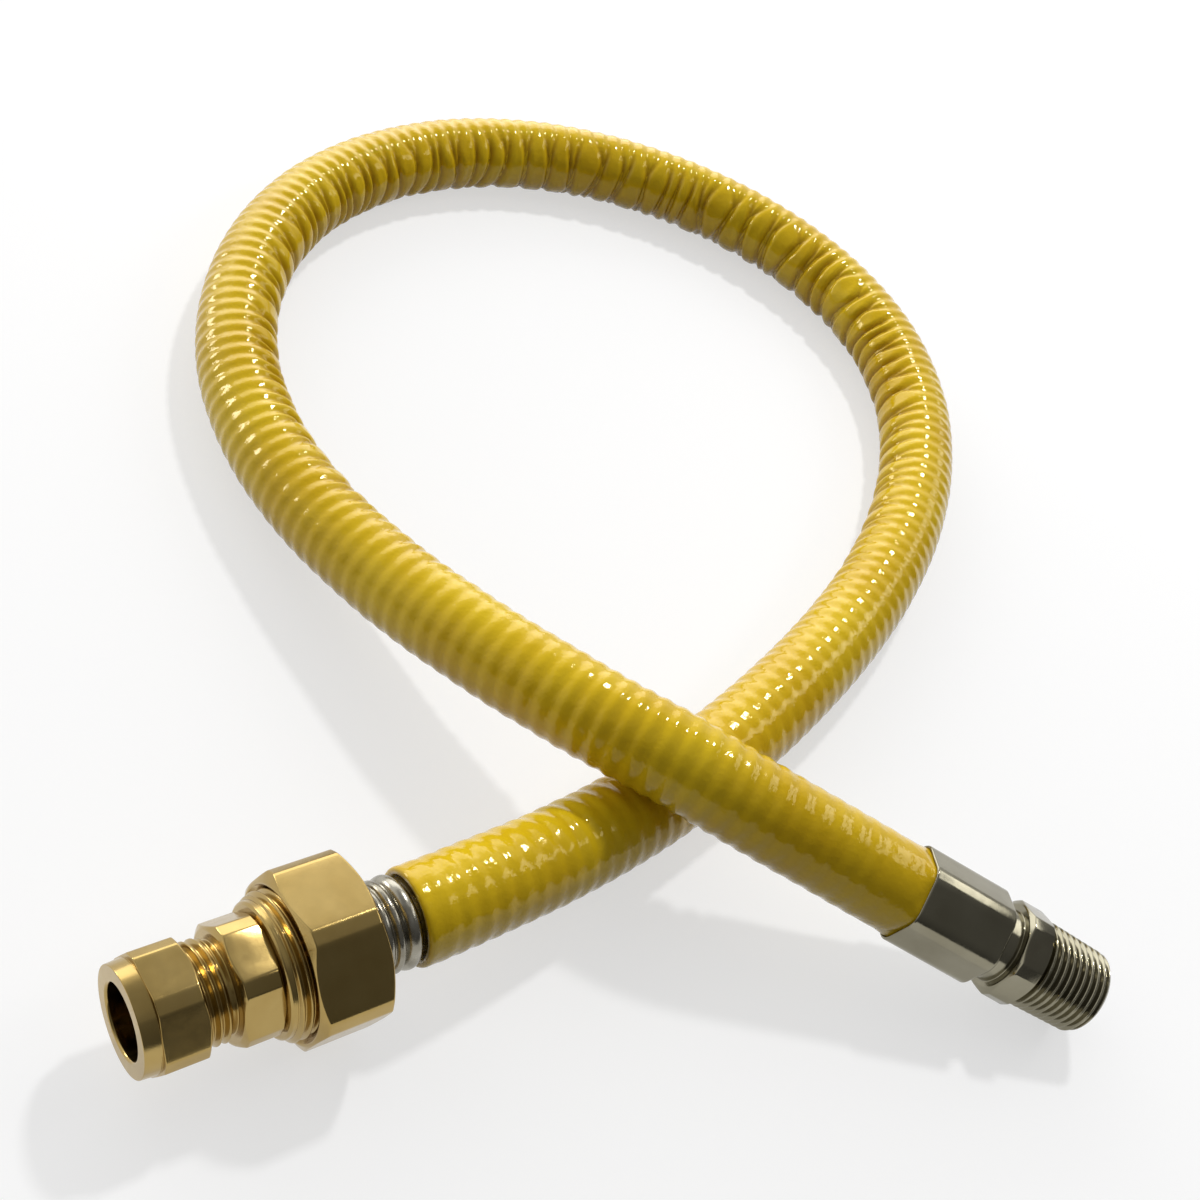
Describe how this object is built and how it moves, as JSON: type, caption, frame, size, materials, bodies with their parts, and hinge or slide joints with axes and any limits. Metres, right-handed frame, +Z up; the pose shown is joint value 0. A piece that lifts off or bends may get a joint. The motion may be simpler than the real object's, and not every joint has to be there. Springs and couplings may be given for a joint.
{
  "type": "flexible gas hose",
  "caption": "Stainless corrugated hose in a ribbed yellow cover, with a brass compression union at one end and a plated taper-thread nipple at the other.",
  "frame": {"origin": "on the surface the hose lies on, under the centre of the box round its two end fittings", "axes": "+Z up; +X along the brass fitting's axis, from its pipe mouth towards the hose"},
  "size_m": [0.3155, 0.3321, 0.0435],
  "materials": {
    "brass": "machined bright brass",
    "stainless_tube": "bright stainless steel, formed in ridges",
    "plated_steel": "polished nickel plate",
    "yellow_cover": "glossy soft plastic, ribbed and wrinkled",
    "washer_fibre": "matt sealing fibre"
  },
  "bodies": {
    "hose": {"hose_cover": "yellow_cover", "corrugated_tube": "stainless_tube", "sealing_washer": "washer_fibre", "retaining_ring": "stainless_tube", "ferrule": "plated_steel", "nipple": "plated_steel"},
    "union": {"union_nut": "brass"},
    "adapter": {"adapter_body": "brass"},
    "olive_ring": {"olive": "brass"},
    "pipe_nut": {"compression_nut": "brass"}
  },
  "joints": [
    {"name": "union_turn", "type": "hinge", "parent": "hose", "child": "union", "pos_m": [-0.066, 0.0301, 0.01835], "axis": [1, 0, 0], "range_deg": [0, 1260]},
    {"name": "adapter_slide", "type": "slide", "parent": "hose", "child": "adapter", "axis": [-1, 0, 0], "range_m": [0, 0.00635]},
    {"name": "olive_slide", "type": "slide", "parent": "adapter", "child": "olive_ring", "axis": [-1, 0, 0], "range_m": [0, 0.00454]},
    {"name": "nut_turn", "type": "hinge", "parent": "olive_ring", "child": "pipe_nut", "pos_m": [-0.0995, 0.0301, 0.01835], "axis": [-1, 0, 0], "range_deg": [0, 900]}
  ],
  "couplings": [
    {"joint": "adapter_slide", "follows": "union_turn", "m_per_rad": 0.00028871},
    {"joint": "olive_slide", "follows": "nut_turn", "m_per_rad": 0.00028871}
  ]
}
